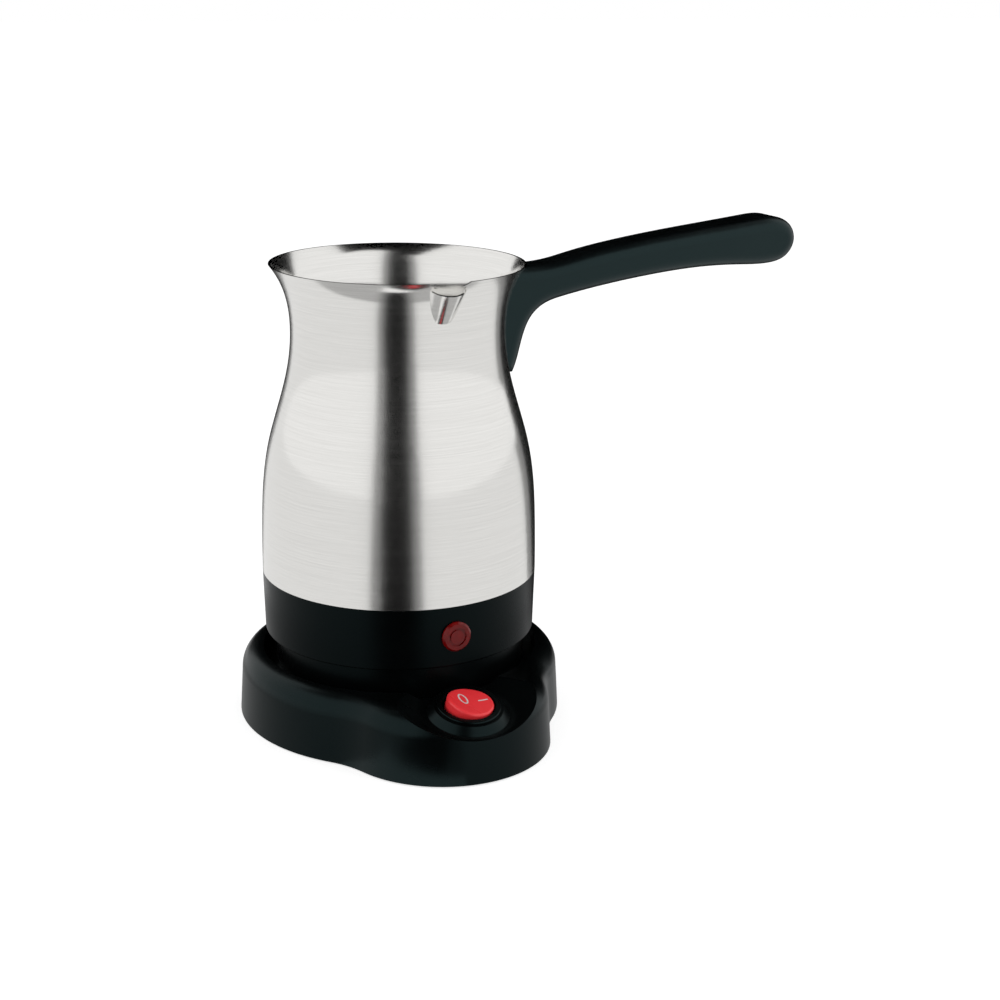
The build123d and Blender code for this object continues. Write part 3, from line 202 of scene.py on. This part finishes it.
def metal(name, colours, rough):
    """Plain metal: colour and gloss vary in soft clouds, with a fine grain."""
    material, tree, shader = new_material(name)
    vary(tree, shader, noise(tree, METAL_CLOUD, detail=4.0), colours, rough)
    grain = noise(tree, METAL_GRAIN, detail=3.0)
    bump(tree, shader, grain, strength=0.3, distance=0.00002)
    shader.inputs["Metallic"].default_value = 1.0
    return material


def brushed_round(name, colours, rough):
    """Steel brushed round the pot: long level scratches, and a glow drawn out upright."""
    material, tree, shader = new_material(name)
    coarse = noise(tree, COARSE_SCRATCHES, detail=5.0, roughness=0.8)
    fine = noise(tree, FINE_SCRATCHES, detail=3.0, roughness=0.8)
    streak = add_node(tree, "ShaderNodeMath", {0: coarse, 1: fine}, operation="ADD").outputs[0]
    vary(tree, shader, streak, colours, rough, STREAK_RANGE)
    bump(tree, shader, streak, strength=0.2, distance=0.00001)
    tangent = add_node(tree, "ShaderNodeTangent", direction_type="RADIAL", axis="Z")
    tree.links.new(tangent.outputs[0], shader.inputs["Tangent"])
    shader.inputs["Metallic"].default_value = 1.0
    shader.inputs["Anisotropic"].default_value = 0.8
    return material


def clear_red(name, colours, rough):
    """Clear red plastic over a lamp."""
    material, tree, shader = new_material(name)
    vary(tree, shader, noise(tree, LENS_CLOUD, detail=3.0), colours, rough)
    shader.inputs["Transmission Weight"].default_value = 0.35
    shader.inputs["IOR"].default_value = 1.49
    shader.inputs["Specular IOR Level"].default_value = 0.15
    return material


TEAL = (0.58, 0.97, 1.0)  # cool sheen of the black plastics
# each pair holds the darkest and the lightest colour of a material
BLACK = ((0.0008, 0.0010, 0.0011), (0.0014, 0.0016, 0.0017))
HANDLE_BLACK = ((0.0010, 0.0014, 0.0016), (0.0018, 0.0022, 0.0024))
INNER_BLACK = ((0.016, 0.017, 0.018), (0.024, 0.025, 0.026))
BRUSHED_STEEL = ((0.72, 0.712, 0.69), (0.84, 0.832, 0.81))
PLAIN_STEEL = ((0.42, 0.41, 0.40), (0.55, 0.54, 0.53))
SCREW_STEEL = ((0.55, 0.55, 0.54), (0.68, 0.68, 0.66))
SPRING_STEEL = ((0.30, 0.30, 0.31), (0.42, 0.42, 0.43))
ALUMINIUM = ((0.62, 0.62, 0.63), (0.74, 0.74, 0.75))
BRASS = ((0.60, 0.42, 0.17), (0.74, 0.54, 0.25))
RUBBER = ((0.018, 0.018, 0.018), (0.028, 0.028, 0.028))
SILICONE = ((0.42, 0.40, 0.36), (0.52, 0.50, 0.45))
ROCKER_RED = ((0.90, 0.034, 0.042), (0.98, 0.044, 0.054))
LENS_RED = ((0.17, 0.001, 0.001), (0.27, 0.003, 0.003))
PHENOLIC = ((0.035, 0.022, 0.016), (0.055, 0.036, 0.026))
CERAMIC = ((0.68, 0.66, 0.60), (0.78, 0.76, 0.70))
NEON_GLASS = ((0.65, 0.30, 0.18), (0.75, 0.40, 0.26))
LEAD_SLEEVE = ((0.50, 0.47, 0.38), (0.62, 0.59, 0.50))
MARK_WHITE = ((0.62, 0.55, 0.54), (0.74, 0.68, 0.67))

# material slots of the record, with the range of roughness after the colours
materials = {
    "black_shell": plastic("black_shell", BLACK, (0.26, 0.31), 0.00003, TEAL, 0.2),
    "black_gloss": plastic("black_gloss", BLACK, (0.24, 0.30), 0.00001, TEAL, 0.2),
    "black_inner": plastic("black_inner", INNER_BLACK, (0.45, 0.55)),
    "steel_brushed": brushed_round("steel_brushed", BRUSHED_STEEL, (0.12, 0.16)),
    "steel_plain": metal("steel_plain", PLAIN_STEEL, (0.32, 0.45)),
    "steel_screw": metal("steel_screw", SCREW_STEEL, (0.22, 0.34)),
    "spring_steel": metal("spring_steel", SPRING_STEEL, (0.28, 0.38)),
    "aluminium_plate": metal("aluminium_plate", ALUMINIUM, (0.35, 0.48)),
    "brass_contact": metal("brass_contact", BRASS, (0.22, 0.36)),
    "rubber_foot": plastic("rubber_foot", RUBBER, (0.7, 0.8), 0.00008),
    "silicone_seal": plastic("silicone_seal", SILICONE, (0.5, 0.6)),
    "red_rocker": plastic("red_rocker", ROCKER_RED, (0.24, 0.30), 0.00001),
    "red_lens": clear_red("red_lens", LENS_RED, (0.12, 0.22)),
    "phenolic_plug": plastic("phenolic_plug", PHENOLIC, (0.4, 0.5)),
    "ceramic_bead": plastic("ceramic_bead", CERAMIC, (0.55, 0.7)),
    "lamp_glass": plastic("lamp_glass", NEON_GLASS, (0.08, 0.14)),
    "lead_sleeve": plastic("lead_sleeve", LEAD_SLEEVE, (0.6, 0.75), 0.0001),
}
# nodes whose black plastic differs a little from their slot's
finishes = {
    "pot_collar": plastic("black_collar", BLACK, (0.26, 0.31), 0.00003, TEAL, 0.09),
    "handle": plastic("black_handle", HANDLE_BLACK, (0.30, 0.36), 0.00002, TEAL, 0.36),
}
for part in frame["record"]["subparts"]:
    mesh = nodes[part["node"]].data
    mesh.materials.clear()
    mesh.materials.append(finishes.get(part["node"], materials[part["material_slot"]]))


# ---- switch marks: a ring for off and a bar for on, printed on the rocker --------------------
SWITCH_SEAT = Vector((0.0, -0.0596, 0.0213))
SWITCH_TILT = math.radians(12.0)
ROCKER_REST = math.radians(8.0)
ROCKER_PIVOT_DEPTH = 0.002
ROCKER_CROWN = 0.0049
ROCKER_HOLLOW = 0.0009
ROCKER_RADIUS = 0.00825
MARK_LIFT = 0.00003
MARK_HALF_WIDTH = 0.0003
OFF_CENTRE = (-0.0022, 0.0016)
OFF_HALF_SIZE = (0.0013, 0.0027)
OFF_STEPS = 48
ON_START, ON_END, ON_ALONG = 0.0028, 0.0064, -0.0001
ON_STEPS = 8
level = Vector((1.0, 0.0, 0.0))
seat_up = Vector((0.0, -math.sin(SWITCH_TILT), math.cos(SWITCH_TILT)))
rocker_along = Vector((0.0, math.cos(SWITCH_TILT), math.sin(SWITCH_TILT)))
rocker_right = level * math.cos(ROCKER_REST) - seat_up * math.sin(ROCKER_REST)
rocker_up = seat_up * math.cos(ROCKER_REST) + level * math.sin(ROCKER_REST)
rocker_pivot = SWITCH_SEAT - seat_up * ROCKER_PIVOT_DEPTH
crown_radius = (ROCKER_RADIUS**2 + ROCKER_HOLLOW**2) / (2 * ROCKER_HOLLOW)
mark_white = plastic("mark_white", MARK_WHITE, (0.35, 0.45), 0.00001)


def on_rocker(across, along):
    """A point just above the rocker's hollow face."""
    height = ROCKER_CROWN - ROCKER_HOLLOW + across**2 / (2 * crown_radius) + MARK_LIFT
    return rocker_pivot + rocker_right * across + rocker_along * along + rocker_up * height


def mark(name, rows):
    """A strip printed on the rocker, from pairs of points along it."""
    points = [on_rocker(*point) for pair in rows for point in pair]
    faces = [(2 * k, 2 * k + 2, 2 * k + 3, 2 * k + 1) for k in range(len(rows) - 1)]
    piece = add_piece(name, points, faces, mark_white)
    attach(piece, "rocker")


def off_point(turn, side):
    """A point on the ring, to one side of its middle line."""
    return (
        OFF_CENTRE[0] + (OFF_HALF_SIZE[0] + side) * math.cos(turn),
        OFF_CENTRE[1] + (OFF_HALF_SIZE[1] + side) * math.sin(turn),
    )


turns = [math.tau * step / OFF_STEPS for step in range(OFF_STEPS + 1)]
mark("off_mark", [(off_point(t, MARK_HALF_WIDTH), off_point(t, -MARK_HALF_WIDTH)) for t in turns])
places = [ON_START + (ON_END - ON_START) * step / ON_STEPS for step in range(ON_STEPS + 1)]
on_sides = (ON_ALONG - MARK_HALF_WIDTH, ON_ALONG + MARK_HALF_WIDTH)
mark("on_mark", [[(place, side) for side in on_sides] for place in places])


# ---- stage: floor, and cards that shape the steel's reflections -------------------------------
WHITE = (1.0, 1.0, 1.0, 1.0)
FLOOR_SIZE = 14.0
FLOOR_COLOUR = (0.62, 0.62, 0.62, 1.0)
FLOOR_LIFT = 0.68
FLAG_BOTTOM, FLAG_TOP = -0.4, 3.0
CEILING_SIZE, CEILING_HEIGHT = 2.0, 1.7
WEDGE_HEIGHT = 0.0006
WEDGE_STEP = 10  # degrees
# the floor cards paint the floor's reflection: darker up to the change, as painted shade near the
# pot, and a little dimmer beyond it
FLOOR_CARDS_START, PAINTED_SHADE_END, FLOOR_CARDS_END = 0.058, 0.14, 6.0  # distances from the pot's axis
FRONT_START, BACK_START, WEDGE_END = 0.0865, 0.066, 2.5


def seen_itself(tree):
    """1 for a ray that shows the surroundings: from the camera, off gloss or through glass."""
    path = add_node(tree, "ShaderNodeLightPath").outputs
    seen = path["Is Camera Ray"]
    for other in (path["Is Glossy Ray"], path["Is Transmission Ray"]):
        either = add_node(tree, "ShaderNodeMath", {0: seen, 1: other}, operation="MAXIMUM")
        seen = either.outputs[0]
    return seen


def panel(name, width, height, centre, facing, material):
    """A flat rectangle with its face towards a direction."""
    w, h = width / 2, height / 2
    corners = [(-w, -h, 0), (w, -h, 0), (w, h, 0), (-w, h, 0)]
    piece = add_piece(name, corners, [(0, 1, 2, 3)], material)
    piece.matrix_world = placed(centre, facing, "Z")
    return piece


def seen_only_in_gloss(piece):
    """Hides a card from everything but reflections."""
    piece.visible_camera = False
    piece.visible_diffuse = False
    piece.visible_transmission = False
    piece.visible_volume_scatter = False
    piece.visible_shadow = False


def glow(name, strength):
    """A white emitter for a card, black at a strength of 0."""
    material = bpy.data.materials.new(name)
    tree = emptied(material)
    emission = add_node(tree, "ShaderNodeEmission", {"Color": WHITE, "Strength": strength})
    add_node(tree, "ShaderNodeOutputMaterial", {"Surface": emission.outputs[0]})
    return material


def card(name, azimuth, distance, width, bottom, material):
    """An upright card at an azimuth, facing the object."""
    way = towards(azimuth)
    centre = way * distance + Vector((0, 0, (bottom + FLAG_TOP) / 2))
    piece = panel(name, width, FLAG_TOP - bottom, centre, -way, material)
    seen_only_in_gloss(piece)


def floor_wedge(name, start, end, near, far, material):
    """A flat wedge just above the floor, between two azimuths and two distances."""
    count = max(1, round((end - start) / WEDGE_STEP))
    corners = []
    for step in range(count + 1):
        way = towards(start + (end - start) * step / count)
        for corner in (way * near, way * far):
            corners.append((corner.x, corner.y, WEDGE_HEIGHT))
    faces = [(2 * k, 2 * k + 1, 2 * k + 3, 2 * k + 2) for k in range(count)]
    piece = add_piece(name, corners, faces, material)
    seen_only_in_gloss(piece)


paper = bpy.data.materials.new("floor")
tree = emptied(paper)
diffuse = add_node(tree, "ShaderNodeBsdfDiffuse", {"Color": FLOOR_COLOUR}).outputs[0]
lift = add_node(tree, "ShaderNodeEmission", {"Color": WHITE, "Strength": FLOOR_LIFT}).outputs[0]
none = add_node(tree, "ShaderNodeEmission", {"Strength": 0.0}).outputs[0]
lifted = add_node(tree, "ShaderNodeMixShader", {0: seen_itself(tree), 1: none, 2: lift}).outputs[0]
both = add_node(tree, "ShaderNodeAddShader", {0: diffuse, 1: lifted}).outputs[0]
add_node(tree, "ShaderNodeOutputMaterial", {"Surface": both})
floor = panel("floor", FLOOR_SIZE, FLOOR_SIZE, (0.0, 0.0, 0.0), (0, 0, 1), paper)

black = glow("black_card", 0.0)
grey = glow("grey_card", 0.25)
# emitters seen only in reflections: the floor's painted shade near the pot, and a painted dimmer
# reflection of the floor further out
shade_card_near = glow("painted_floor_shade_glow", 0.5)
reflection_card_far = glow("painted_floor_reflection_glow", 0.88)

# name, azimuth, distance, width, bottom and material
card("camera_flag", -25.0, 1.2, 0.52, FLAG_BOTTOM, black)
card("camera_flag_edge_left", -41.0, 1.25, 0.14, FLAG_BOTTOM, grey)
card("camera_flag_edge_right", -9.0, 1.25, 0.16, FLAG_BOTTOM, grey)
card("back_flag", 148.0, 1.6, 2.6, 0.0, black)
over_the_pot = (0.0, 0.0, CEILING_HEIGHT)
ceiling = panel("ceiling_flag", CEILING_SIZE, CEILING_SIZE, over_the_pot, (0, 0, -1), black)
seen_only_in_gloss(ceiling)

# name, first and last azimuth, nearest and farthest distance, and material
# wedges over the floor, seen only in reflections, paint the floor's reflected shade near the pot
# and a dimmer reflection further out
for side, start, end in (("left", -170.0, -44.0), ("right", -6.0, 100.0)):
    floor_wedge(f"painted_shade_floor_card_{side}", start, end, FLOOR_CARDS_START, PAINTED_SHADE_END, shade_card_near)
    floor_wedge(f"painted_reflection_floor_card_{side}", start, end, PAINTED_SHADE_END, FLOOR_CARDS_END, reflection_card_far)
# black wedges with grey edges, seen only in reflections, paint a dark reflection of the floor in
# front of and behind the pot
floor_wedge("floor_wedge", -37.0, -13.0, FRONT_START, WEDGE_END, black)
floor_wedge("floor_wedge_left", -44.0, -37.0, FRONT_START, WEDGE_END, grey)
floor_wedge("floor_wedge_back", 112.0, 182.0, BACK_START, WEDGE_END, black)
floor_wedge("floor_wedge_back_left", 100.0, 112.0, BACK_START, WEDGE_END, grey)
floor_wedge("floor_wedge_back_right", 182.0, 190.0, BACK_START, WEDGE_END, grey)
floor_wedge("floor_wedge_right", -13.0, -6.0, FRONT_START, WEDGE_END, grey)


# ---- lamps and world --------------------------------------------------------------------------
SOFTBOX_DISTANCE, SOFTBOX_HEIGHT = 1.1, 0.55
SOFTBOX_SIZE = (0.9, 1.1)
SOFTBOX_WATTS = 4.0
AIM = Vector((0.0, 0.0, 0.08))
SOFT_LIGHT, BACKDROP_WHITE = 0.62, 1.0

for name, azimuth in (("left_softbox", -95.0), ("right_softbox", 55.0)):
    light = bpy.data.lights.new(name, "AREA")
    light.shape = "RECTANGLE"
    light.size, light.size_y = SOFTBOX_SIZE
    light.energy = SOFTBOX_WATTS
    lamp = bpy.data.objects.new(name, light)
    place = towards(azimuth) * SOFTBOX_DISTANCE + Vector((0, 0, SOFTBOX_HEIGHT))
    lamp.matrix_world = placed(place, AIM - place, "-Z")
    lamp.visible_glossy = False
    scene.collection.objects.link(lamp)

world = bpy.data.worlds.new("world")
scene.world = world
tree = emptied(world)
soft, white = (
    add_node(tree, "ShaderNodeBackground", {"Color": WHITE, "Strength": strength}).outputs[0]
    for strength in (SOFT_LIGHT, BACKDROP_WHITE)
)
sky = add_node(tree, "ShaderNodeMixShader", {0: seen_itself(tree), 1: soft, 2: white}).outputs[0]
add_node(tree, "ShaderNodeOutputWorld", {"Surface": sky})
